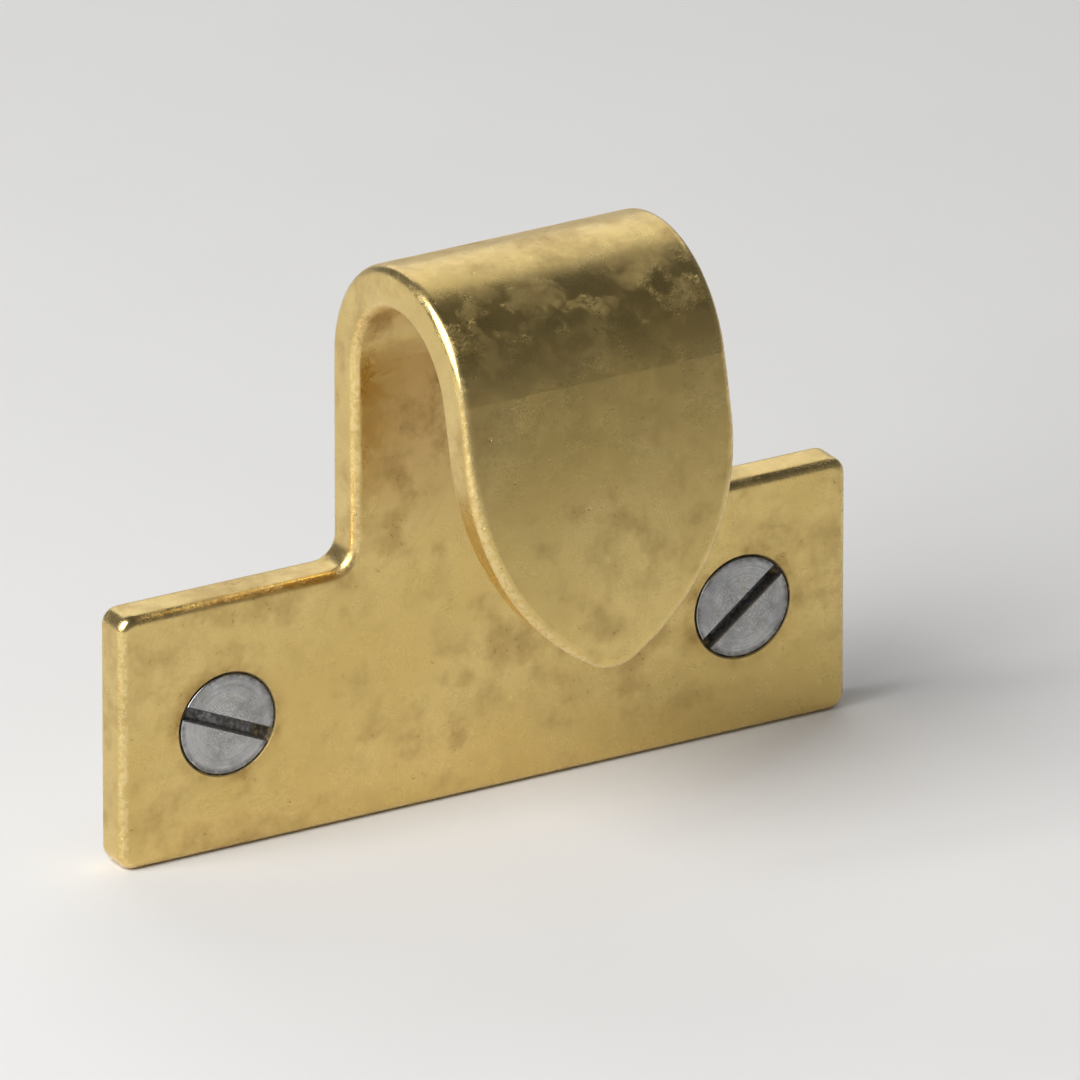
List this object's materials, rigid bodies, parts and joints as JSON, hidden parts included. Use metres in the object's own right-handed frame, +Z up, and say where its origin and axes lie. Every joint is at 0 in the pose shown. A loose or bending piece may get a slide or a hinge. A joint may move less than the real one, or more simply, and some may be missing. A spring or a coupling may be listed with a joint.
{
  "type": "hook sash lift",
  "caption": "Cast brass hook sash lift with an inverted T back plate, a tapered finger hook and wood screws, for raising the lower sash of a sliding sash window.",
  "frame": {"origin": "on the back face of the plate, midway between the two screws", "axes": "+X to the right along the sash, +Y into the sash, so the hook is on the -Y side, +Z up"},
  "size_m": [0.055, 0.0331, 0.041],
  "materials": {
    "cast_brass": "polished casting, hand worn and slightly dulled",
    "screw_steel": "bright zinc plated, turned head with a sawn slot"
  },
  "bodies": {
    "root": {"lift_body": "cast_brass", "screw_left": "screw_steel", "screw_right": "screw_steel"}
  },
  "joints": []
}
